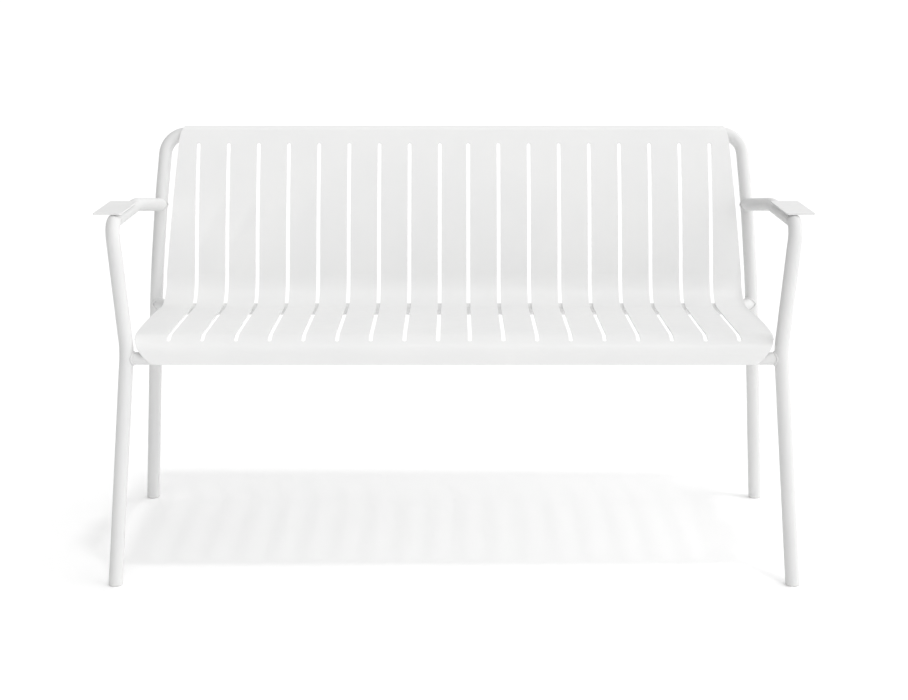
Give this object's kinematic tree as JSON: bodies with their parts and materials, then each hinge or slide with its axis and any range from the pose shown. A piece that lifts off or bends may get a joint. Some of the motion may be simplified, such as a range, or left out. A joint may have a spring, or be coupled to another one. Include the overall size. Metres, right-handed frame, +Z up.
{
  "type": "garden bench",
  "caption": "Welded metal garden bench: slotted one-piece seat and back on a bent tube frame, with flat armrest plates and splayed legs.",
  "frame": {"origin": "on the ground, at the middle of the bench's footprint box", "axes": "+X along the bench's length, +Y towards the back, +Z up; the sitter faces -Y"},
  "size_m": [1.425, 0.68, 0.8448],
  "materials": {
    "frame_coat": "white powder coat, fine satin texture, on bent steel tube",
    "sheet_coat": "white powder coat, fine satin texture, on bent sheet steel",
    "plate_coat": "white powder coat, fine satin texture, on flat plate",
    "foot_plastic": "white moulded plastic, matt"
  },
  "bodies": {
    "root": {"rear_frame_loop": "frame_coat", "front_rail": "frame_coat", "rear_rail": "frame_coat", "seat_back_sheet": "sheet_coat", "front_leg_left": "frame_coat", "front_leg_right": "frame_coat", "arm_tube_left": "frame_coat", "arm_tube_right": "frame_coat", "armrest_plate_left": "plate_coat", "armrest_plate_right": "plate_coat", "front_foot_cap_left": "foot_plastic", "front_foot_cap_right": "foot_plastic", "rear_foot_cap_left": "foot_plastic", "rear_foot_cap_right": "foot_plastic"}
  },
  "joints": []
}
